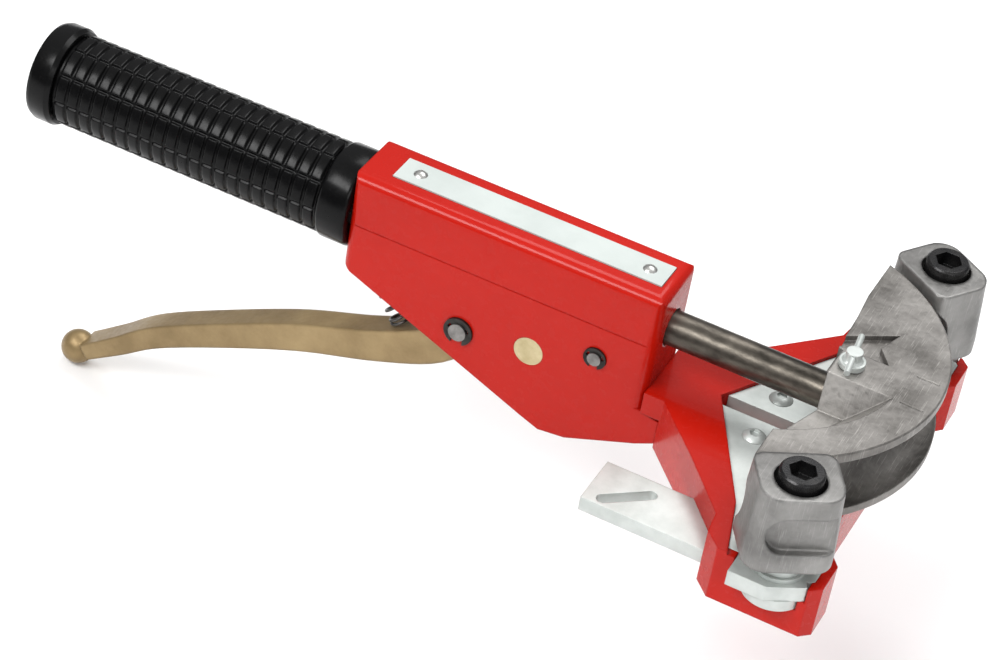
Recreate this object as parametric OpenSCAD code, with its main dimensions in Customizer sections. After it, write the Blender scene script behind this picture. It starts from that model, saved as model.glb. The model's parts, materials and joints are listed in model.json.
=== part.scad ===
// Manual tube bender, crossbow type: a hand lever pumps a toothed ram forward through a
// pistol-style frame, and the ram presses a grooved bending shoe between two swivelling blocks.
// +X runs along the ram towards the shoe, +Y to the far side and +Z up.
// The origin is under the middle of the tool, level with the lowest point of the lever knob.

/* [Housing] */
// Length of the housing along the ram
housing_len = 140; // [130:1:150]
// Half width of the housing
housing_half_w = 17; // [16.5:0.5:18]
// Height of the housing top above the ram axis
housing_top = 22.5; // [21:0.5:24]
// Rounding of the long top edges
housing_edge_r = 5; // [3:0.5:6]

/* [Handle] */
// Radius of the grip lands
grip_r = 20; // [18:0.5:21]
// Distance of the grip's rear end behind the housing front
grip_end = 294; // [280:1:310]
// Number of cross rings along the grip
grip_rings = 21; // [15:1:24]
// Outer radius of the steel tube inside the grip
handle_tube_r = 14; // [13:0.5:15]

/* [Ram] */
// Radius of the ram
ram_r = 7.5; // [7:0.1:8]
// Pitch of the ratchet teeth under the ram
tooth_pitch = 3.5; // [3:0.1:4]
// Depth of the ratchet teeth
tooth_depth = 1.6; // [1:0.1:2]

/* [Bending shoe] */
// Outer diameter of the tube the shoe bends
tube_d = 26; // [25:0.2:26.2]
// Bend radius at the tube centreline
bend_r = 74.4; // [74:0.1:74.8]
// Half height of the shoe rim
shoe_half_h = 16.7; // [16:0.1:17]

/* [Yoke] */
// Level of the support plates' top face below the ram axis
plate_top = -24; // [-25:0.5:-23.5]
// Thickness of the support plates
plate_t = 7; // [6:0.5:7]
// Level of the bottom edge of the yoke walls
yoke_bottom = -48; // [-52:1:-45]
// Thickness of the yoke walls
yoke_wall = 4; // [3:0.5:4.5]

/* [Lever] */
// Half width of the lever arm
lever_half_w = 6.5; // [5.5:0.5:7]
// Radius of the knob at the end of the lever
knob_r = 7.8; // [7:0.1:9]

/* [Hidden] */
$fn = 64;

red = [0.80, 0.16, 0.12];
black = [0.08, 0.08, 0.09];
zinc = [0.76, 0.80, 0.79];
cast_alu = [0.62, 0.61, 0.59];
steel = [0.33, 0.31, 0.28];
bronze = [0.63, 0.55, 0.36];

// Position of the origin in the tool's working coordinates
shoe_x = 34.3;
rim_r = bend_r + 4.2;
knob = [-270, -141];
origin_x = (grip_end - shoe_x - rim_r) / 2;
origin_z = knob_r - knob[1];

// Housing
wall_t = 4.5;
front_r = 4.5;
cavity_half_w = housing_half_w - wall_t;
front_wall = 6;
rear_wall = 8;
pivot = [-83.7, -31.3];
pivot_r = 4;
hold_pivot = [-23.6, -16.3];
hold_pin_r = 3;
button_at = [-52.3, -27];
button_r = 6.5;
run_gap = 0.05;
bushing_r = 10;
stop_web_x = -118.4;
stop_web_t = 5;
seat_top = -27;
seat_bottom = -31;

// Lever
feed_pivot = [-90, -18];
feed_pin_r = 2.5;
hub_r = 11;

// Yoke
v_apex = 26.5;
plate_bottom = plate_top - plate_t;
shelf_t = 4;
sheet_top = plate_top + 1.5;
screw_at = [85.3, 79.9];
screw_r = 6;
nut_r = 12.8;
nut_t = 5;
plate_screw_at = [47.5, 14.3];

// Slide blocks
block_turn = 32.5;
block_half_l = 18;
block_outer = 14.5;
block_inner = 15;
block_bottom = -14.7;
block_top = 20;
groove_r = tube_d / 2 + 0.1;
groove_offset = 20.5;
head_bottom = 12.4;
head_top = 24.4;
head_r = 9;
counterbore_r = 10.35;

module place() {
    translate([origin_x, 0, origin_z])
        children();
}

// A flat outline in the XZ plane, drawn as [x, z], given a width along Y
module across(half_w) {
    rotate([90, 0, 0])
        linear_extrude(height = 2 * half_w, center = true)
            children();
}

// A round bar along Y through the point p = [x, z]
module cross_bar(p, r, half_l) {
    translate([p[0], 0, p[1]])
        rotate([90, 0, 0])
            cylinder(r = r, h = 2 * half_l, center = true);
}

// A round bar along X on the ram axis
module axial_bar(x0, x1, r) {
    translate([x0, 0, 0])
        rotate([0, 90, 0])
            cylinder(r = r, h = x1 - x0);
}

module both_sides() {
    children();
    mirror([0, 1, 0])
        children();
}

// ---------- housing ----------

module housing_side_outline() {
    polygon([
        [-housing_len, -20], [-housing_len, housing_top],
        for (a = [90:-15:0])
            [front_r * (cos(a) - 1), housing_top + front_r * (sin(a) - 1)],
        [0, -33],
        [8, -35], [8, -46], [0, -50], [-30, -62], [-42, -63.5], [-50, -60.5],
        [-136, -24.9], [-139, -23]
    ]);
}

module housing_section() {
    r = housing_edge_r;
    w = housing_half_w;
    h = housing_top + 70;
    translate([-w, -70])
        square([2 * w, h - r]);
    translate([-w + r, -70])
        square([2 * (w - r), h]);
    for (s = [-1, 1])
        translate([s * (w - r), housing_top - r])
            circle(r = r);
}

// Plan of the housing above the yoke's ledge, with rounded corners
module housing_plan() {
    r = front_r;
    translate([-housing_len, -housing_half_w + r])
        square([housing_len, 2 * (housing_half_w - r)]);
    translate([-housing_len + r, -housing_half_w])
        square([housing_len - 2 * r, 2 * housing_half_w]);
    for (x = [-housing_len + r, -r])
        for (s = [-1, 1])
            translate([x, s * (housing_half_w - r)])
                circle(r = r);
}

module housing() place() color(red) difference() {
    intersection() {
        union() {
            translate([0, 0, -33])
                linear_extrude(height = 60)
                    housing_plan();
            translate([-housing_len, -housing_half_w, -80])
                cube([housing_len + 10, 2 * housing_half_w, 47]);
        }
        across(housing_half_w + 5)
            housing_side_outline();
        translate([-housing_len - 5, 0, 0])
            rotate([90, 0, 90])
                linear_extrude(height = housing_len + 20)
                    housing_section();
    }
    // inner space behind the stop web, open underneath
    translate([-housing_len + rear_wall, -cavity_half_w, -75])
        cube([housing_len - rear_wall + stop_web_x, 2 * cavity_half_w, 75 + seat_bottom]);
    translate([-housing_len + rear_wall, -cavity_half_w, seat_top])
        cube([housing_len - rear_wall + stop_web_x, 2 * cavity_half_w, 18 - seat_top]);
    // inner space between the stop web and the front wall, open underneath
    translate([stop_web_x + stop_web_t, -cavity_half_w, -75])
        cube([-front_wall - stop_web_x - stop_web_t, 2 * cavity_half_w, 93]);
    // below the stop web and below the front wall
    translate([stop_web_x - 1, -cavity_half_w, -75])
        cube([stop_web_t + 2, 2 * cavity_half_w, 75 + seat_bottom]);
    translate([-front_wall - 1, -cavity_half_w, -75])
        cube([20, 2 * cavity_half_w, 75 - 46]);
    // handle tube socket, ram hole and bushing seat
    axial_bar(-housing_len - 1, -housing_len + rear_wall + 1, handle_tube_r);
    axial_bar(stop_web_x - 1, stop_web_x + stop_web_t + 1, ram_r + 0.5);
    axial_bar(-front_wall - 1, -1.2, bushing_r);
    axial_bar(-2, 1, ram_r + 0.7);
    // seam between the folded top and the side plates
    both_sides()
        translate([-housing_len - 1, -housing_half_w - 1, -1.3])
            cube([housing_len + 2, 1.25, 0.6]);
    // cross holes
    cross_bar(pivot, pivot_r, 30);
    cross_bar(hold_pivot, hold_pin_r, 30);
    cross_bar(button_at, button_r + run_gap, 30);
    // shallow seat for the label plate
    translate([-127.2, -7.7, housing_top - 0.5])
        cube([121.8, 15.4, 2]);
}

module label_plate() place() color([0.88, 0.90, 0.88]) difference() {
    translate([-127, -7.5, housing_top - 0.5])
        cube([121.4, 15, 1]);
    for (x = [-118, -14])
        translate([x, 0, 0])
            cylinder(r = 1.5, h = 40);
}

module label_rivets() place() color(zinc)
    for (x = [-118, -14]) {
        translate([x, 0, housing_top + 0.5])
            intersection() {
                translate([0, 0, -2.4])
                    sphere(r = 3.85);
                cylinder(r = 3, h = 3);
            }
        translate([x, 0, housing_top - 0.5])
            cylinder(r = 1.5, h = 1);
    }

module rod_bushing() place() color(bronze) difference() {
    axial_bar(-front_wall, -1.2, bushing_r);
    axial_bar(-front_wall - 1, 1, ram_r + run_gap);
}

// ---------- handle ----------

module handle_tube() place() color(steel) difference() {
    axial_bar(-grip_end + 6, -housing_len + rear_wall, handle_tube_r);
    axial_bar(-grip_end + 5, -housing_len + rear_wall + 1, handle_tube_r - 2.5);
}

// Half section of the grip as [distance from the rear, radius]
ring_start = grip_end - housing_len - 14;
ring_pitch = (ring_start - 14) / grip_rings;
function ring_points(i) = [
    [14 + i * ring_pitch, grip_r - 1],
    [14 + i * ring_pitch + 0.9, grip_r - 1],
    [14 + i * ring_pitch + 1.3, grip_r],
    [14 + (i + 1) * ring_pitch - 0.4, grip_r]
];

module grip() place() color(black)
    translate([-grip_end, 0, 0])
        rotate([0, 90, 0])
            rotate_extrude()
                polygon_of_grip();

module polygon_of_grip() {
    rings = [for (i = [0:grip_rings - 1]) for (p = ring_points(i)) [p[1], p[0]]];
    polygon(concat(
        [[handle_tube_r, 12], [grip_r - 1, 12]],
        rings,
        [[grip_r - 1, ring_start], [grip_r - 1, ring_start + 1], [grip_r + 1, ring_start + 2],
         [grip_r + 1, grip_end - housing_len - 1], [grip_r, grip_end - housing_len],
         [handle_tube_r, grip_end - housing_len]]
    ));
}

module grip_end_cap() place() color(black)
    translate([-grip_end, 0, 0])
        rotate([0, 90, 0])
            difference() {
                rotate_extrude()
                    polygon([
                        [0, 0], [grip_r - 1, 0], [grip_r + 1, 1], [grip_r + 1.9, 3],
                        [grip_r + 1.9, 10], [grip_r + 0.8, 12], [0, 12]
                    ]);
                translate([0, 0, 6])
                    difference() {
                        cylinder(r = handle_tube_r, h = 10);
                        cylinder(r = handle_tube_r - 2.5, h = 6);
                    }
            }

// ---------- lever ----------

// Centreline of the lever as [x, z, thickness], from the knob to the hub
lever_path = [
    [-275, -146, 7], [-264, -138, 7.5], [-247, -126, 9], [-228, -112, 10.5], [-193, -94, 12],
    [-160, -79, 13.5], [-125, -66.5, 15], [-98, -53, 17], [-84, -34, 20], [-80, -20, 20]
];
lever_steps = 6;
function smooth(a, b, c, d, t) =
    0.5 * ((2 * b) + (c - a) * t + (2 * a - 5 * b + 4 * c - d) * t * t
    + (3 * b - a - 3 * c + d) * t * t * t);
lever_line = [
    for (i = [1:len(lever_path) - 3])
        for (j = [0:lever_steps - 1])
            smooth(lever_path[i - 1], lever_path[i], lever_path[i + 1], lever_path[i + 2],
                j / lever_steps)
];
function unit(v) = v / norm(v);
function lever_edge(i, side) =
    let (
        n = len(lever_line) - 1,
        a = lever_line[max(i - 1, 0)],
        b = lever_line[min(i + 1, n)],
        d = unit([b[0] - a[0], b[1] - a[1]])
    )
    [lever_line[i][0] - side * d[1] * lever_line[i][2] / 2,
     lever_line[i][1] + side * d[0] * lever_line[i][2] / 2];

module lever_outline() {
    n = len(lever_line) - 1;
    polygon(concat(
        [for (i = [0:n]) lever_edge(i, 1)],
        [for (i = [n:-1:0]) lever_edge(i, -1)]
    ));
}

module trigger_lever() place() color(bronze) difference() {
    union() {
        across(lever_half_w)
            lever_outline();
        translate([knob[0], 0, knob[1]])
            sphere(r = knob_r);
        cross_bar(pivot, hub_r, cavity_half_w - 0.4);
        // ears that hold the feed pawl
        across(8)
            polygon([
                [-95, -31], [-95.5, -20], [-94.5, -14.5], [-92, -12.5], [-88, -12.5],
                [-85.5, -14.5], [-82, -22], [-80, -31]
            ]);
    }
    // slot between the ears
    translate([-110, -4.8, -23.4])
        cube([40, 9.6, 20]);
    cross_bar(feed_pivot, feed_pin_r, 30);
    cross_bar(pivot, pivot_r + run_gap, 30);
}

module lever_pivot_pin() place() color(steel)
    grooved_pin(pivot, pivot_r, housing_half_w + 2, 1.2, 0.8);

// A cross pin with a clip groove just outside each side plate
module grooved_pin(p, r, half_l, clip_t, groove) {
    translate([p[0], 0, p[1]])
        rotate([90, 0, 0])
            difference() {
                cylinder(r = r, h = 2 * half_l, center = true);
                for (s = [-1, 1])
                    translate([0, 0, s * (housing_half_w + clip_t / 2)])
                        difference() {
                            cylinder(r = r + 1, h = clip_t, center = true);
                            cylinder(r = r - groove, h = clip_t + 1, center = true);
                        }
            }
}

// A pair of open retaining clips, one on each side plate
module clip_pair(p, outer_r, inner_r, t) {
    both_sides()
        translate([p[0], -housing_half_w, p[1]])
            rotate([90, 0, 0])
                difference() {
                    cylinder(r = outer_r, h = t);
                    translate([0, 0, -1])
                        cylinder(r = inner_r, h = t + 2);
                    translate([-inner_r * 0.8, -outer_r - 1, -1])
                        cube([inner_r * 1.6, outer_r + 1, t + 2]);
                    for (a = [25, 155])
                        rotate([0, 0, a])
                            translate([inner_r + 0.3, -1.1, -1])
                                cube([1.4, 2.2, t + 2]);
                }
}

module lever_pivot_clips() place() color(steel)
    clip_pair(pivot, 6.5, pivot_r - 0.8, 1.2);

// Coil spring drawn as a stack of closed turns
module coil_stack(turns, pitch, coil_r, wire_r) {
    for (i = [0:turns - 1])
        translate([0, 0, i * pitch])
            rotate_extrude()
                translate([coil_r, 0])
                    circle(r = wire_r, $fn = 24);
}

spring_turns = 7;
spring_len = 21.3;
spring_wire = 0.8;
spring_r = 4.2;
spring_tilt = 32;
module return_spring() place() color(steel)
    translate([-128, 0, seat_bottom - 3.3])
        rotate([0, 180 - spring_tilt, 0])
            coil_stack(spring_turns, spring_len / (spring_turns - 1), spring_r, spring_wire);

// ---------- pawls and release button ----------

// Pawl with its hinge at p and its tooth reaching forward and up from there
module pawl(p, hinge_r, reach, rise, half_w, bore_r) {
    inner = bore_r + 0.6;
    translate([p[0], 0, p[1]])
        difference() {
            union() {
                cross_bar([0, 0], hinge_r, half_w);
                across(half_w)
                    polygon([
                        [0, inner], [reach * 0.45, rise - 2.4], [reach - 1.2, rise], [reach, rise],
                        [reach + 1.2, rise - 3.4], [reach - 1.6, rise - 5.4],
                        [reach * 0.5, -hinge_r * 0.3], [0, -inner]
                    ]);
            }
            cross_bar([0, 0], bore_r, 30);
        }
}

module feed_pawl() place() color(steel)
    pawl(feed_pivot, 4.3, 17, 9.8, 2.9, feed_pin_r + run_gap);

module feed_pawl_pin() place() color(zinc)
    cross_bar(feed_pivot, feed_pin_r, 8.4);

// Torsion spring turns on a pawl pin, starting at y0
module torsion_turns(p, y0, turns, coil_r, wire_r) {
    translate([p[0], y0 + wire_r, p[1]])
        rotate([-90, 0, 0])
            coil_stack(turns, 2 * wire_r + 0.03, coil_r, wire_r);
}

module feed_pawl_spring() place() color(steel)
    torsion_turns(feed_pivot, 3.0, 2, 3.2, 0.4);

module holding_pawl() place() color(steel)
    pawl(hold_pivot, 5.2, 11.8, 8.1, 4, hold_pin_r + run_gap);

module holding_pawl_pin() place() color(steel)
    grooved_pin(hold_pivot, hold_pin_r, housing_half_w + 1.8, 1, 0.7);

module holding_pawl_clips() place() color(steel)
    clip_pair(hold_pivot, 5, hold_pin_r - 0.7, 1);

module holding_pawl_spring() place() color(steel)
    torsion_turns(hold_pivot, 4.3, 5, 4, 0.55);

module release_button() place() color([0.84, 0.78, 0.58])
    translate([button_at[0], -housing_half_w, button_at[1]])
        rotate([-90, 0, 0]) {
            cylinder(r = button_r, h = 2 * housing_half_w + 3.4);
            translate([0, 0, 2 * housing_half_w + 3.4])
                cylinder(r1 = button_r, r2 = button_r - 0.6, h = 0.6);
        }

// ---------- ram and shoe ----------

ram_rear = -125;
ram_nose = 92;
tooth_first = -116;
tooth_count = 49;

module rack_rod() place() color(steel) difference() {
    union() {
        axial_bar(ram_rear, ram_nose - 1, ram_r);
        translate([ram_nose - 1, 0, 0])
            rotate([0, 90, 0])
                cylinder(r1 = ram_r, r2 = ram_r - 1, h = 1);
    }
    across(ram_r + 1)
        polygon(concat(
            [[tooth_first, -ram_r - 2]],
            [for (i = [0:tooth_count - 1]) for (q = [[0, -ram_r - 0.01], [0.3, -ram_r + tooth_depth],
                [tooth_pitch * 0.98, -ram_r - 0.01]]) [tooth_first + i * tooth_pitch + q[0], q[1]]],
            [[tooth_first + tooth_count * tooth_pitch, -ram_r - 2]]
        ));
    // groove that takes the end stop
    translate([ram_rear + 3, 0, 0])
        rotate([0, 90, 0])
            difference() {
                cylinder(r = ram_r + 1, h = 3);
                cylinder(r = ram_r - 1, h = 3);
            }
}

module rod_end_stop() place() color(steel)
    difference() {
        axial_bar(ram_rear + 3, ram_rear + 6, ram_r + 3);
        axial_bar(ram_rear + 2, ram_rear + 7, ram_r - 1);
    }

shoe_rear = 64;
clamp_x = 75;
clamp_r = 3;
web_half = 3;
band_r = rim_r - 16.2;

module shoe_profile() {
    slope = shoe_half_h - web_half - 1;
    polygon([
        [0, -web_half], [band_r - slope, -web_half], [band_r, -shoe_half_h],
        [rim_r - 0.6, -shoe_half_h], [rim_r, -shoe_half_h + 0.6], [rim_r, shoe_half_h - 0.6],
        [rim_r - 0.6, shoe_half_h], [band_r, shoe_half_h], [band_r - slope, web_half], [0, web_half]
    ]);
}

// Boss around the nose of the ram, with sloping sides
module shoe_boss() {
    translate([shoe_rear + 4.5, 0, 0])
        rotate([90, 0, 90])
            linear_extrude(height = 32)
                polygon([
                    [-17, -web_half], [-9, -shoe_half_h], [9, -shoe_half_h], [17, -web_half],
                    [17, web_half], [9, shoe_half_h], [-9, shoe_half_h], [-17, web_half]
                ]);
}

// The far half is filled up to the rim, apart from a shallow recess beside the boss
module shoe_far_land() {
    difference() {
        translate([0, 0, -web_half])
            linear_extrude(height = web_half + shoe_half_h)
                polygon([[66.5, 8], [65.5, 31], [60, 90], [120, 90], [120, 0], [70, 0]]);
        translate([0, 0, shoe_half_h - 2.6])
            linear_extrude(height = 10)
                polygon([[60, 9], [87.5, 9], [81, 17.5], [84.5, 30], [65.8, 16.2], [60, 12]]);
    }
}

module bending_shoe() place() color(cast_alu) difference() {
    intersection() {
        union() {
            translate([shoe_x, 0, 0])
                rotate_extrude($fn = 128)
                    shoe_profile();
            intersection() {
                union() {
                    shoe_boss();
                    shoe_far_land();
                }
                translate([shoe_x, 0, -30])
                    cylinder(r = band_r + 0.2, h = 60, $fn = 128);
            }
        }
        translate([shoe_rear, -100, -30])
            cube([100, 200, 60]);
    }
    // tube groove
    translate([shoe_x, 0, 0])
        rotate_extrude($fn = 128)
            translate([bend_r, 0])
                circle(r = groove_r);
    axial_bar(shoe_rear - 1, ram_nose, ram_r + run_gap);
    translate([clamp_x, 0, 0])
        cylinder(r = clamp_r + run_gap, h = 40);
    // the near half's web is cut back beside the boss
    translate([0, 0, -30])
        linear_extrude(height = 60)
            polygon([[60, -60], [63.4, -60], [64.4, -34.5], [70, -17], [68.5, -9], [68.5, 7.5],
                [66.5, 8], [60, 8]]);
    // two reference lines cut across the rim
    for (s = [-1, 1])
        translate([99.5, s * 9.6 - 0.3, shoe_half_h - 0.4])
            cube([9.5, 0.6, 1]);
}

module shoe_clamp_screw() place() color(zinc) difference() {
    translate([clamp_x, 0, 0]) {
        translate([0, 0, ram_r + 0.2])
            cylinder(r = clamp_r, h = 10);
        translate([0, 0, shoe_half_h + 0.3])
            cylinder(r = 5.4, h = 2.4);
        translate([0, 0, shoe_half_h + 2.7])
            cylinder(r1 = 4.4, r2 = 3.4, h = 1);
        translate([0, 0, shoe_half_h + 3.7])
            cylinder(r = 3.4, h = 3.6);
    }
    tommy_bar(tommy_r);
}

tommy_r = 1.3;

module tommy_bar(r) {
    translate([clamp_x, 0, shoe_half_h + 5.5])
        rotate([0, 0, 8])
            rotate([90, 0, 0])
                cylinder(r = r, h = 26, center = true);
}

module tommy_pin() place() color(zinc)
    tommy_bar(tommy_r);

// ---------- yoke ----------

// Corners of the yoke's near half in plan, from the housing round to the front wall
yoke_corners = [
    [8, -17], [31.5, -42.4], [53.5, -67.8], [55, -79], [62, -86],
    [101, -86], [105, -82], [105, -67], [96, -56], [95.5, -36]
];
// Direction in which each corner moves when the outline shrinks by one wall thickness
yoke_inwards = [
    [1, 0.39], [0.745, 0.667], [0.952, 0.429], [0.946, 0.468], [0.414, 1],
    [-0.414, 1], [-1, 0.414], [-1, -0.357], [-0.991, -0.368], [-1, 0]
];
function half_yoke(w) = [for (i = [0:len(yoke_corners) - 1]) yoke_corners[i] + w * yoke_inwards[i]];
function mirrored(pts) = [for (i = [len(pts) - 1:-1:0]) [pts[i][0], -pts[i][1]]];
function yoke_outline(w) = concat(half_yoke(w), mirrored(half_yoke(w)));

// Region in front of the V edge, where the support plates lie
module plate_region() {
    polygon([
        [v_apex, 0], [v_apex + 31, -57.1], [v_apex + 41, -90], [120, -90], [120, 90],
        [v_apex + 41, 90], [v_apex + 31, 57.1]
    ]);
}

module crossbar() place() color(red) difference() {
    union() {
        translate([0, 0, yoke_bottom])
            linear_extrude(height = sheet_top - yoke_bottom)
                polygon(yoke_outline(0));
        // ledge welded to the front of the housing
        translate([0, -18, -33])
            cube([9, 36, 33 + sheet_top]);
    }
    // seat of the support plates
    translate([0, 0, plate_bottom])
        linear_extrude(height = 30)
            intersection() {
                polygon(yoke_outline(yoke_wall));
                plate_region();
            }
    // walls in front of the V edge end level with the plates
    translate([0, 0, plate_top])
        linear_extrude(height = 30)
            plate_region();
    // hollow underside
    translate([0, 0, yoke_bottom - 1])
        linear_extrude(height = plate_bottom - shelf_t - yoke_bottom + 1)
            polygon(yoke_outline(yoke_wall));
    // opening in the rear wall for the slotted tongue
    translate([30, tongue_box[0][1], tongue_top - tongue_t])
        cube([34, tongue_box[1][1] - tongue_box[0][1], tongue_t]);
    both_sides() {
        // window for the plate's lug
        translate([69.5, -90, plate_bottom])
            cube([30.6, 12, 30]);
        // room for the nut
        translate([screw_at[0], -screw_at[1], plate_bottom - nut_t - 0.4])
            cylinder(r = nut_r + 0.6, h = nut_t + 1);
        translate([plate_screw_at[0], -plate_screw_at[1], -60])
            cylinder(r = 3, h = 60);
    }
}

module lug_outline() {
    polygon([[70, -80], [70, -94], [86, -94], [99.7, -85.2], [96.5, -80]]);
}

module main_plate_outline() {
    difference() {
        intersection() {
            polygon(yoke_outline(yoke_wall + 0.15));
            translate([0.2, 0])
                plate_region();
        }
        translate([0, -3.5])
            square([200, 200]);
    }
    lug_outline();
}

module plate_holes() {
    translate([screw_at[0], -screw_at[1], -60])
        cylinder(r = screw_r, h = 60);
    translate([plate_screw_at[0], -plate_screw_at[1], -60])
        cylinder(r = 3, h = 60);
}

module support_plate() {
    difference() {
        translate([0, 0, plate_bottom])
            linear_extrude(height = plate_t)
                main_plate_outline();
        plate_holes();
    }
}

module near_support_plate() place() color(zinc)
    support_plate();

module far_support_plate() place() color(zinc)
    mirror([0, 1, 0])
        support_plate();

tongue_top = plate_bottom - shelf_t;
tongue_t = 6.5;
tongue_box = [[1.2, -76.7], [64, -51]];
slot_at = [9, -72.5];
slot_len = 20;
slot_r = 2.6;

// Flat bar that runs back out of the yoke's near arm, with a diagonal slot
module slotted_tongue() place() color(zinc)
    translate([0, 0, tongue_top - tongue_t])
        linear_extrude(height = tongue_t)
            difference() {
                translate(tongue_box[0])
                    square(tongue_box[1] - tongue_box[0]);
                translate(slot_at)
                    rotate([0, 0, 41]) {
                        translate([0, -slot_r])
                            square([slot_len, 2 * slot_r]);
                        circle(r = slot_r);
                        translate([slot_len, 0])
                            circle(r = slot_r);
                    }
            }

module plate_screws() place() color(zinc)
    both_sides()
        translate([plate_screw_at[0], -plate_screw_at[1], plate_top])
            difference() {
                union() {
                    translate([0, 0, -13])
                        cylinder(r = 3, h = 13);
                    intersection() {
                        translate([0, 0, -4.2])
                            sphere(r = 6.6);
                        cylinder(r = 5.2, h = 2.6);
                    }
                }
                translate([0, 0, 0.8])
                    cylinder(r = 2.3, h = 5, $fn = 6);
            }

// ---------- slide blocks ----------

block_round = 9;
inner_round = 5;

// Plan of a block around its screw axis, with rounded corners and the groove side at +Y
module block_plan(grow) {
    l = block_half_l - 1.5 + grow;
    v = block_outer - 1.5 + grow;
    for (s = [-1, 1]) {
        translate([s * (l - block_round), -v + block_round])
            circle(r = block_round, $fn = 32);
        translate([s * (l - inner_round), block_inner - inner_round])
            circle(r = inner_round, $fn = 32);
    }
}

module block_body() {
    difference() {
        // wider at the foot than at the top, as cast
        hull() {
            translate([0, 0, block_bottom])
                linear_extrude(height = 6)
                    block_plan(1.5);
            translate([0, 0, block_top - 1])
                linear_extrude(height = 1)
                    block_plan(0);
        }
        translate([0, groove_offset, 0])
            rotate([0, 90, 0])
                cylinder(r = groove_r, h = 60, center = true);
        translate([0, 0, -30])
            cylinder(r = screw_r + run_gap, h = 60);
        translate([0, 0, head_bottom - 0.1])
            cylinder(r = counterbore_r, h = 20);
        // finger pocket in the outer face, open at the end that faces the shoe's nose
        translate([0, -block_outer + 3.6, 2.5])
            rotate([90, 0, 0])
                linear_extrude(height = 10) {
                    translate([-4, -8.5])
                        square([30, 17]);
                    translate([-4, 0])
                        circle(r = 8.5);
                }
    }
}

module far_slide_block() place() color(cast_alu)
    translate([screw_at[0], screw_at[1], 0])
        rotate([0, 0, -block_turn])
            mirror([0, 1, 0])
                block_body();

module near_slide_block() place() color(cast_alu)
    mirror([0, 1, 0])
        translate([screw_at[0], screw_at[1], 0])
            rotate([0, 0, -block_turn])
                mirror([0, 1, 0])
                    block_body();

module block_screws() place() color(black)
    both_sides()
        translate([screw_at[0], -screw_at[1], 0])
            difference() {
                union() {
                    translate([0, 0, plate_bottom - nut_t - 0.3])
                        cylinder(r = screw_r, h = nut_t + 0.3 - plate_bottom + head_bottom);
                    translate([0, 0, head_bottom])
                        cylinder(r = head_r, h = head_top - head_bottom - 0.8);
                    translate([0, 0, head_top - 0.8])
                        cylinder(r1 = head_r, r2 = head_r - 0.8, h = 0.8);
                }
                translate([0, 0, head_top - 6])
                    cylinder(r = 5.77, h = 8, $fn = 6);
            }

module ring_at_screws(z0, z1, r) {
    both_sides()
        translate([screw_at[0], -screw_at[1], z0])
            difference() {
                cylinder(r = r, h = z1 - z0);
                translate([0, 0, -1])
                    cylinder(r = screw_r, h = z1 - z0 + 2);
            }
}

module block_spacers() place() color(zinc)
    ring_at_screws(-22, block_bottom - 0.3, 9.3);

module block_washers() place() color(zinc)
    ring_at_screws(plate_top, -22, 10.5);

module block_nuts() place() color(zinc)
    ring_at_screws(plate_bottom - nut_t, plate_bottom, nut_r);

housing();
crossbar();
handle_tube();
grip();
grip_end_cap();
label_plate();
label_rivets();
rod_bushing();
trigger_lever();
lever_pivot_pin();
lever_pivot_clips();
return_spring();
feed_pawl();
feed_pawl_pin();
feed_pawl_spring();
holding_pawl();
holding_pawl_pin();
holding_pawl_clips();
holding_pawl_spring();
release_button();
rack_rod();
rod_end_stop();
bending_shoe();
shoe_clamp_screw();
tommy_pin();
near_support_plate();
far_support_plate();
slotted_tongue();
plate_screws();
near_slide_block();
far_slide_block();
block_screws();
block_washers();
block_spacers();
block_nuts();
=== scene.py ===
import json
import math

import bpy
from mathutils import Matrix, Vector


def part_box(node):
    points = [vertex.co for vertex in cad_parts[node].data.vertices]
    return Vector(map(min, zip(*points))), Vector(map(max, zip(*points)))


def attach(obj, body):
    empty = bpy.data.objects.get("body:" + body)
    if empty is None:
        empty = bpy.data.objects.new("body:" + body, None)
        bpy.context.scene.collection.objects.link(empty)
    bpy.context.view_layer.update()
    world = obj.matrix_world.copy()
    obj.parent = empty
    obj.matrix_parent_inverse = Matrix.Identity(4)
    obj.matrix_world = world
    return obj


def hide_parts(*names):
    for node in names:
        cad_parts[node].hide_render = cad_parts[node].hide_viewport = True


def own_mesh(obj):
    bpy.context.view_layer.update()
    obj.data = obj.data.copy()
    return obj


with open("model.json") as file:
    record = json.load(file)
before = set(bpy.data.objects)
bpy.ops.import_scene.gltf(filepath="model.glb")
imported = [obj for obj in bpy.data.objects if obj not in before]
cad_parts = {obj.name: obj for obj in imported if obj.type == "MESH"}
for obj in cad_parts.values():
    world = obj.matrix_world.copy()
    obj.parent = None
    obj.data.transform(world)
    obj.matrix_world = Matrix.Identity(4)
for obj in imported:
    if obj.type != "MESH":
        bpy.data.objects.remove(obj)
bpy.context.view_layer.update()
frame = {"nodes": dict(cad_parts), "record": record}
nodes = frame["nodes"]

MM = 0.001


# ---------------------------------------------------------------- material helpers

def new_material(name):
    mat = bpy.data.materials.new(name)
    mat.use_nodes = True
    tree = mat.node_tree
    shader = tree.nodes["Principled BSDF"]
    return mat, tree, shader


def add(tree, kind, **settings):
    """A new node, with each setting put on the socket of that name, or else on the node itself."""
    node = tree.nodes.new(kind)
    for key, value in settings.items():
        if key in node.inputs:
            node.inputs[key].default_value = value
        else:
            setattr(node, key, value)
    return node


def object_coords(tree, scale=(1, 1, 1), turn=(0, 0, 0)):
    coords = add(tree, "ShaderNodeTexCoord")
    mapping = add(tree, "ShaderNodeMapping")
    mapping.inputs["Rotation"].default_value = turn
    mapping.inputs["Scale"].default_value = scale
    tree.links.new(coords.outputs["Object"], mapping.inputs["Vector"])
    return mapping.outputs["Vector"]


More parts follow.
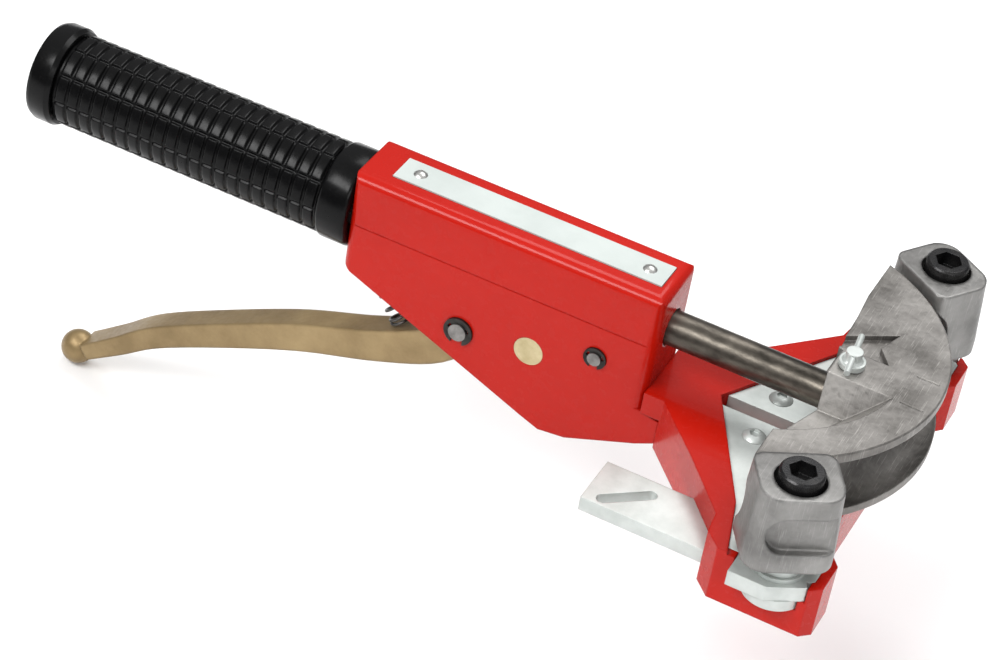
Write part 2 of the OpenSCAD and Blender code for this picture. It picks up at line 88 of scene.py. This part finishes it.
def noise(tree, vector, scale, detail=4.0, rough=0.55):
    node = add(tree, "ShaderNodeTexNoise")
    node.inputs["Scale"].default_value = scale
    node.inputs["Detail"].default_value = detail
    node.inputs["Roughness"].default_value = rough
    tree.links.new(vector, node.inputs["Vector"])
    return node.outputs["Fac"]


def ramp(tree, source, stops):
    """stops is a list of (place from 0 to 1, colour)."""
    node = add(tree, "ShaderNodeValToRGB")
    elements = node.color_ramp.elements
    while len(elements) < len(stops):
        elements.new(0.5)
    for element, (place, colour) in zip(elements, stops):
        element.position = place
        element.color = (*colour, 1)
    tree.links.new(source, node.inputs["Fac"])
    return node.outputs["Color"]


def spread(tree, source, low, high, start=0.3, end=0.7):
    """Map source from start..end to low..high, held at both ends."""
    node = add(tree, "ShaderNodeMapRange")
    node.inputs["From Min"].default_value = start
    node.inputs["From Max"].default_value = end
    node.inputs["To Min"].default_value = low
    node.inputs["To Max"].default_value = high
    tree.links.new(source, node.inputs["Value"])
    return node.outputs["Result"]


# Each set of scratches: its turn about Z in radians, and how many times noise is squeezed along X, Y and Z
SCRATCH_SETS = (
    (0.5, (2600, 90, 90)),
    (1.7, (2200, 70, 120)),
    (2.7, (3000, 110, 80)),
)
SCRATCH_START, SCRATCH_FULL = 0.66, 0.76


def scratches(tree):
    """Noise squeezed into long thin hairs, in three directions; only its peaks show."""
    total = None
    for turn, squeeze in SCRATCH_SETS:
        place = object_coords(tree, squeeze, (0.3, 0.2, turn))
        peaks = noise(tree, place, 1.0, detail=1, rough=0.5)
        hair = spread(tree, peaks, 0, 1, SCRATCH_START, SCRATCH_FULL)
        if total is None:
            total = hair
            continue
        both = add(tree, "ShaderNodeMath", operation="MAXIMUM")
        tree.links.new(total, both.inputs[0])
        tree.links.new(hair, both.inputs[1])
        total = both.outputs["Value"]
    return total


def weighted(tree, source, weight, onto):
    """source times weight, added to onto."""
    node = add(tree, "ShaderNodeMath", operation="MULTIPLY_ADD")
    tree.links.new(source, node.inputs[0])
    node.inputs[1].default_value = weight
    tree.links.new(onto, node.inputs[2])
    return node.outputs["Value"]


def rounded_normal(tree, radius):
    """Normals that run round sharp edges, as a small radius or a coat of paint makes them run."""
    node = add(tree, "ShaderNodeBevel", samples=6)
    node.inputs["Radius"].default_value = radius
    return node.outputs["Normal"]


def bump(tree, shader, heights, distance, base=None):
    """heights is a list of (socket, strength); each bump stands on the one before."""
    last = base
    for source, strength in heights:
        node = add(tree, "ShaderNodeBump")
        node.inputs["Strength"].default_value = strength
        node.inputs["Distance"].default_value = distance
        tree.links.new(source, node.inputs["Height"])
        if last is not None:
            tree.links.new(last, node.inputs["Normal"])
        last = node.outputs["Normal"]
    tree.links.new(last, shader.inputs["Normal"])


def finish_material(
    name, dark, light, metallic, rough, coarse, fine, grain, coat=0.0, coat_rough=0.1,
    stretch=(1, 1, 1), depth=0.0002, mottle=(0.35, 0.65), specular=0.5, scuff=0.0, edge=0.0,
):
    """A surface whose colour drifts between dark and light, with uneven gloss and a fine grain.

    rough is the least and most roughness. coarse and fine are the scales of the drift and the specks,
    and mottle is the stretch of the drift over which dark turns to light. grain and depth set the
    bump. scuff adds fine specks and a few light hairs to the colour. edge is the radius that sharp
    edges seem to have.
    """
    mat, tree, shader = new_material(name)
    place = object_coords(tree, stretch)
    drift = noise(tree, place, coarse, 6, 0.6)
    speck = noise(tree, place, fine, 3, 0.5)
    tone = drift
    if scuff:
        tone = weighted(tree, speck, scuff, tone)
        tone = weighted(tree, scratches(tree), scuff, tone)
    colour = ramp(tree, tone, [(mottle[0], dark), (mottle[1], light)])
    tree.links.new(colour, shader.inputs["Base Color"])
    shader.inputs["Specular IOR Level"].default_value = specular
    tree.links.new(spread(tree, speck, rough[0], rough[1]), shader.inputs["Roughness"])
    shader.inputs["Metallic"].default_value = metallic
    shader.inputs["Coat Weight"].default_value = coat
    shader.inputs["Coat Roughness"].default_value = coat_rough
    base = rounded_normal(tree, edge) if edge else None
    bump(tree, shader, [(drift, grain * 0.6), (speck, grain)], depth, base)
    return mat


MATERIALS = {
    "red_paint": finish_material(
        "red_enamel", (0.385, 0.0065, 0.0020), (0.43, 0.0080, 0.0028),
        metallic=0.0, rough=(0.22, 0.30), coarse=16, fine=260, grain=0.04,
        coat=0.24, coat_rough=0.04, specular=0.08, depth=0.0001, edge=0.0012,
    ),
    "grip_black": finish_material(
        "grip_moulding", (0.0014, 0.0014, 0.0015), (0.0024, 0.0024, 0.0026),
        metallic=0.0, rough=(0.18, 0.28), coarse=60, fine=700, grain=0.08,
        specular=0.14, depth=0.0001, edge=0.0004,
    ),
    "label": finish_material(
        "label_plate_metal", (0.46, 0.50, 0.48), (0.51, 0.55, 0.53),
        metallic=0.1, rough=(0.40, 0.52), coarse=50, fine=900, grain=0.03,
        depth=0.00008, specular=0.3,
    ),
    "rivet": finish_material(
        "rivet_metal", (0.40, 0.40, 0.38), (0.55, 0.55, 0.53),
        metallic=0.9, rough=(0.24, 0.38), coarse=300, fine=1500, grain=0.10,
    ),
    "bushing": finish_material(
        "bushing_bronze", (0.055, 0.040, 0.024), (0.13, 0.10, 0.055),
        metallic=0.9, rough=(0.38, 0.52), coarse=120, fine=900, grain=0.12,
    ),
    "lever_bronze": finish_material(
        "lever_casting", (0.22, 0.150, 0.066), (0.36, 0.26, 0.125),
        metallic=0.55, rough=(0.34, 0.50), coarse=30, fine=520, grain=0.26,
        coat=0.08, coat_rough=0.3, depth=0.0003, edge=0.0022,
    ),
    "dark_steel": finish_material(
        "dark_oiled_steel", (0.020, 0.019, 0.018), (0.055, 0.052, 0.048),
        metallic=0.85, rough=(0.34, 0.5), coarse=140, fine=1100, grain=0.2,
    ),
    "pin_steel": finish_material(
        "pin_end_steel", (0.13, 0.125, 0.12), (0.26, 0.25, 0.24),
        metallic=0.85, rough=(0.34, 0.52), coarse=220, fine=1300, grain=0.18,
        edge=0.0005,
    ),
    "spring_steel": finish_material(
        "spring_wire", (0.045, 0.043, 0.041), (0.13, 0.125, 0.12),
        metallic=0.9, rough=(0.26, 0.42), coarse=260, fine=1300, grain=0.1,
    ),
    "brass_pin": finish_material(
        "worn_brass", (0.40, 0.33, 0.175), (0.56, 0.48, 0.29),
        metallic=0.7, rough=(0.38, 0.52), coarse=130, fine=1200, grain=0.16,
        edge=0.0004,
    ),
    "rod_steel": finish_material(
        "ground_rod_steel", (0.030, 0.026, 0.021), (0.120, 0.106, 0.088),
        metallic=0.85, rough=(0.28, 0.44), coarse=110, fine=620, grain=0.22,
        stretch=(0.5, 1, 1), depth=0.00015, mottle=(0.36, 0.64), edge=0.0003,
    ),
    "cast_alu": finish_material(
        "tumbled_casting", (0.115, 0.108, 0.100), (0.310, 0.297, 0.280),
        metallic=0.75, rough=(0.34, 0.52), coarse=34, fine=420, grain=0.32,
        depth=0.00028, mottle=(0.44, 0.78), scuff=0.20, edge=0.0008,
    ),
    "block_alu": finish_material(
        "block_casting", (0.135, 0.132, 0.127), (0.30, 0.295, 0.285),
        metallic=0.75, rough=(0.30, 0.46), coarse=34, fine=460, grain=0.30,
        depth=0.00026, mottle=(0.42, 0.78), scuff=0.14, edge=0.0018,
    ),
    "zinc": finish_material(
        "bright_zinc", (0.42, 0.45, 0.43), (0.56, 0.59, 0.57),
        metallic=0.45, rough=(0.34, 0.48), coarse=52, fine=800, grain=0.06,
        depth=0.0001, edge=0.0005,
    ),
    "black_oxide": finish_material(
        "black_oxide_steel", (0.006, 0.006, 0.007), (0.018, 0.017, 0.017),
        metallic=0.5, rough=(0.22, 0.36), coarse=160, fine=1200, grain=0.2,
        edge=0.0005,
    ),
}

slot_of = {part["node"]: part["material_slot"] for part in frame["record"]["subparts"]}


def paint(obj, material):
    obj.data.materials.clear()
    obj.data.materials.append(material)


for name, obj in nodes.items():
    paint(obj, MATERIALS[slot_of[name]])


# ---------------------------------------------------------------- edges of the CAD nodes

SHARP_ANGLE = math.radians(28)
WELD_DISTANCE = 0.002 * MM


def place_of(mesh, ends):
    """An edge's two end points, which are the same for the copies of it that two faces hold."""
    return tuple(sorted(tuple(round(c, 6) for c in mesh.vertices[i].co) for i in ends))


def shade_by_angle(obj):
    """Smooth shading that stays sharp at real edges, worked out from the faces on both sides."""
    mesh = obj.data
    stored = mesh.attributes.get("custom_normal")
    if stored is not None:
        mesh.attributes.remove(stored)
    faces_at = {}
    for face in mesh.polygons:
        face.use_smooth = True
        for ends in face.edge_keys:
            faces_at.setdefault(place_of(mesh, ends), []).append(face.normal.copy())
    for edge in mesh.edges:
        sides = faces_at.get(place_of(mesh, edge.vertices), [])
        edge.use_edge_sharp = len(sides) != 2 or sides[0].angle(sides[1], 0.0) > SHARP_ANGLE
    weld = obj.modifiers.new("weld", "WELD")
    weld.merge_threshold = WELD_DISTANCE


for obj in nodes.values():
    shade_by_angle(obj)


# ---------------------------------------------------------------- pieces made here

def mesh_object(name, verts, faces, body, material):
    mesh = bpy.data.meshes.new(name)
    mesh.from_pydata(verts, [], faces)
    mesh.validate()
    mesh.update()
    obj = bpy.data.objects.new(name, mesh)
    bpy.context.scene.collection.objects.link(obj)
    for face in mesh.polygons:
        face.use_smooth = True
    paint(obj, material)
    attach(obj, body)
    return obj


def lathe_grid(rows, around):
    """rows is a list of rings of points. Each ring closes on itself, and the two ends stay open."""
    verts = [p for ring in rows for p in ring]
    faces = []
    for i in range(len(rows) - 1):
        here, there = i * around, (i + 1) * around
        for j in range(around):
            k = (j + 1) % around
            faces.append((here + j, there + j, there + k, here + k))
    return verts, faces


# The grip's waffle: rings of pads along it and columns of pads round it, with grooves between
PAD_RINGS = 21
PAD_COLUMNS = 10
PAD_CROWN = 0.18 * MM
GROOVE_WIDTH = 0.95 * MM
GROOVE_DEPTH = 1.15 * MM
COLLAR_RISE = 1.0 * MM
COLLAR_LENGTH = 14.5 * MM
REAR_LAND = 1.6 * MM
# Where a pad's points lie along it and round it, as parts of the pitch: closest on the groove's slopes
ALONG_PAD = (0.0, 0.09, 0.135, 0.18, 0.24, 0.5, 0.76, 0.82, 0.865, 0.91)
ROUND_PAD = (0.0, 0.045, 0.07, 0.09, 0.11, 0.2, 0.5, 0.8, 0.89, 0.91, 0.93, 0.955)
# The smooth collar at the front, with rounded shoulders: mm past the pads, and mm above their tops
COLLAR_PROFILE = (
    (0.0, -1.15), (0.5, -1.15), (0.9, 0.1), (1.4, 0.7), (2.2, 1.0),
    (12.4, 1.0), (13.4, 0.75), (14.0, 0.25), (14.5, -0.6),
)


def pad_height(place, pitch):
    """0 in a groove and 1 on a pad, with short slopes, for a place along a run of pads."""
    at = place % pitch
    edge = min(at, pitch - at)
    half = GROOVE_WIDTH * 0.5
    t = max(0.0, min(1.0, (edge - half) / half))
    return t * t * (3 - 2 * t)


def build_grip():
    low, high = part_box("grip")
    middle = (low + high) / 2
    pad_r = (high.y - low.y) / 2 - COLLAR_RISE
    bore_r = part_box("handle_tube")[1].y
    start, end = low.x + REAR_LAND, high.x - COLLAR_LENGTH
    pitch = (end - start) / PAD_RINGS
    width = 2 * math.pi * pad_r / PAD_COLUMNS
    angles = [2 * math.pi * (c + s) / PAD_COLUMNS for c in range(PAD_COLUMNS) for s in ROUND_PAD]
    around = len(angles)

    def ring(x, radii):
        return [(x, r * math.cos(a), middle.z + r * math.sin(a)) for r, a in zip(radii, angles)]

    def pad_ring(x):
        along = pad_height(x - start, pitch)
        crown = PAD_CROWN * math.sin(math.pi * ((x - start) / pitch % 1))
        heights = [along * pad_height(a * pad_r, width) for a in angles]
        return ring(x, [pad_r - GROOVE_DEPTH + (GROOVE_DEPTH + crown) * h for h in heights])

    rows = [ring(x, [pad_r - GROOVE_DEPTH] * around) for x in (low.x, low.x + REAR_LAND / 2)]
    rows += [pad_ring(start + (i + s) * pitch) for i in range(PAD_RINGS) for s in ALONG_PAD]
    rows += [pad_ring(end)]
    rows += [ring(end + step * MM, [pad_r + rise * MM] * around) for step, rise in COLLAR_PROFILE]
    rows += [ring(x, [bore_r] * around) for x in (high.x, low.x)]
    verts, faces = lathe_grid(rows, around)
    # the rear face, from the bore back to the first ring
    last = (len(rows) - 1) * around
    for j in range(around):
        k = (j + 1) % around
        faces.append((last + j, j, k, last + k))
    obj = mesh_object("grip_waffle", verts, faces, "frame", MATERIALS["grip_black"])
    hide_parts("grip")


def tube_along(points, radius, sides):
    """Rings of points round a path, carried along without twist."""
    rows = []
    normal = None
    for i, p in enumerate(points):
        a = points[max(i - 1, 0)]
        b = points[min(i + 1, len(points) - 1)]
        tangent = (b - a).normalized()
        if normal is None:
            normal = tangent.orthogonal().normalized()
        normal = (normal - tangent * normal.dot(tangent)).normalized()
        other = tangent.cross(normal)
        rows.append([
            p + radius * (math.cos(t) * normal + math.sin(t) * other)
            for t in (2 * math.pi * j / sides for j in range(sides))
        ])
    return rows


SPRING_TILT = math.radians(32)
SPRING_TURNS = 6
SPRING_WIRE_R = 0.65 * MM
SPRING_SIDES = 10
SPRING_STEPS = 260
SPRING_END_PITCH = 0.07
CAD_WIRE_R = 0.8 * MM


def build_return_spring():
    low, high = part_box("return_spring")
    axis = Vector((math.sin(SPRING_TILT), 0, -math.cos(SPRING_TILT)))
    coil_r = (high.y - low.y) / 2 - CAD_WIRE_R
    side = Vector((0, 1, 0))
    up = axis.cross(side)
    # the two end turns' centres, found from the box of the CAD rings
    reach = coil_r * math.cos(SPRING_TILT) + CAD_WIRE_R
    drop = coil_r * math.sin(SPRING_TILT) + CAD_WIRE_R
    top = Vector((low.x + reach, 0, high.z - drop))
    bottom = Vector((high.x - reach, 0, low.z + drop))
    length = (bottom - top).length
    points = []
    for i in range(SPRING_STEPS + 1):
        t = i / SPRING_STEPS
        # a small pitch in the end turns, and a wide one in the middle
        swell = t - math.sin(2 * math.pi * t) / (2 * math.pi)
        lift = SPRING_END_PITCH * t + (1 - SPRING_END_PITCH) * swell
        a = 2 * math.pi * SPRING_TURNS * t
        arm = math.cos(a) * side + math.sin(a) * up
        points.append(top + axis * (length * lift) + coil_r * arm)
    verts, faces = lathe_grid(tube_along(points, SPRING_WIRE_R, SPRING_SIDES), SPRING_SIDES)
    count = len(verts)
    faces.append(tuple(range(SPRING_SIDES)))
    faces.append(tuple(range(count - 1, count - SPRING_SIDES - 1, -1)))
    obj = mesh_object(
        "return_spring_coil", verts, faces, "frame", MATERIALS["spring_steel"],
    )
    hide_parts("return_spring")
    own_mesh(obj)


build_grip()
build_return_spring()


# ---------------------------------------------------------------- floor, lights and camera

FLOOR_HALF = 6.0
FLOOR_DROP = 0.6 * MM


def build_floor():
    mesh = bpy.data.meshes.new("floor")
    corners = [(-1, -1), (1, -1), (1, 1), (-1, 1)]
    verts = [(x * FLOOR_HALF, y * FLOOR_HALF, -FLOOR_DROP) for x, y in corners]
    mesh.from_pydata(verts, [], [(0, 1, 2, 3)])
    floor = bpy.data.objects.new("floor", mesh)
    bpy.context.scene.collection.objects.link(floor)
    mat, tree, shader = new_material("pale_floor")
    tint = noise(tree, object_coords(tree), 3, 2, 0.5)
    colour = ramp(tree, tint, [(0.3, (0.90, 0.90, 0.90)), (0.7, (0.93, 0.93, 0.93))])
    tree.links.new(colour, shader.inputs["Base Color"])
    shader.inputs["Roughness"].default_value = 0.9
    paint(floor, mat)


LIGHT_TARGET = Vector((0.0, 0.0, 0.1))
# Each light's name, place, width and height in metres, and watts
LIGHTS = (
    ("key", (-0.48, -1.05, 1.45), (1.3, 0.5), 24),
    ("fill", (1.4, -1.2, 1.0), (1.0, 0.8), 11),
    ("top", (0.2, 0.8, 1.6), (1.4, 0.8), 16),
)


def build_lights():
    for name, place, size, watts in LIGHTS:
        data = bpy.data.lights.new(name, "AREA")
        data.shape = "RECTANGLE"
        data.size, data.size_y = size
        data.energy = watts
        light = bpy.data.objects.new(name, data)
        light.location = place
        light.rotation_euler = (LIGHT_TARGET - Vector(place)).to_track_quat("-Z", "Y").to_euler()
        bpy.context.scene.collection.objects.link(light)


# The sky's greys from the horizon, 0, to overhead, 1
SKY_STOPS = [(0.0, (0.22, 0.22, 0.23)), (0.35, (0.42, 0.42, 0.43)), (0.85, (1, 1, 1))]


def build_world():
    """White overhead and grey towards the horizon, so that metal has something to reflect."""
    world = bpy.data.worlds.new("studio")
    world.use_nodes = True
    tree = world.node_tree
    coords = add(tree, "ShaderNodeTexCoord")
    parts = add(tree, "ShaderNodeSeparateXYZ")
    tree.links.new(coords.outputs["Generated"], parts.inputs["Vector"])
    height = spread(tree, parts.outputs["Z"], 0, 1, start=0.0, end=1.0)
    colour = ramp(tree, height, SKY_STOPS)
    background = tree.nodes["Background"]
    background.inputs["Strength"].default_value = 0.8
    tree.links.new(colour, background.inputs["Color"])
    # what the camera sees directly past the floor is plain white
    plain = add(tree, "ShaderNodeBackground", Color=(1, 1, 1, 1), Strength=1.0)
    path = add(tree, "ShaderNodeLightPath")
    choice = add(tree, "ShaderNodeMixShader")
    tree.links.new(path.outputs["Is Camera Ray"], choice.inputs["Fac"])
    tree.links.new(background.outputs["Background"], choice.inputs[1])
    tree.links.new(plain.outputs["Background"], choice.inputs[2])
    tree.links.new(choice.outputs["Shader"], tree.nodes["World Output"].inputs["Surface"])
    bpy.context.scene.world = world


# The camera's place on a sphere round a point near the middle of the tool
CAMERA_AZIMUTH = math.radians(20.1)
CAMERA_ELEVATION = math.radians(37.8)
CAMERA_ROLL = math.radians(10.3)
CAMERA_DISTANCE = 1.28
CAMERA_TARGET = Vector((0.0369, -0.0506, 0.1542))
CAMERA_LENS = 117


def build_camera():
    data = bpy.data.cameras.new("camera")
    data.sensor_width = 36
    data.lens = CAMERA_LENS
    data.clip_end = 50
    camera = bpy.data.objects.new("camera", data)
    bpy.context.scene.collection.objects.link(camera)
    back = Vector((
        math.sin(CAMERA_AZIMUTH) * math.cos(CAMERA_ELEVATION),
        -math.cos(CAMERA_AZIMUTH) * math.cos(CAMERA_ELEVATION),
        math.sin(CAMERA_ELEVATION),
    ))
    level = Vector((math.cos(CAMERA_AZIMUTH), math.sin(CAMERA_AZIMUTH), 0))
    upright = back.cross(level)
    right = math.cos(CAMERA_ROLL) * level + math.sin(CAMERA_ROLL) * upright
    up = back.cross(right)
    turn = Matrix((right, up, back)).transposed().to_4x4()
    camera.matrix_world = Matrix.Translation(CAMERA_TARGET + back * CAMERA_DISTANCE) @ turn
    bpy.context.scene.camera = camera


build_floor()
build_world()
build_lights()
build_camera()
bpy.context.scene.view_settings.view_transform = "Standard"
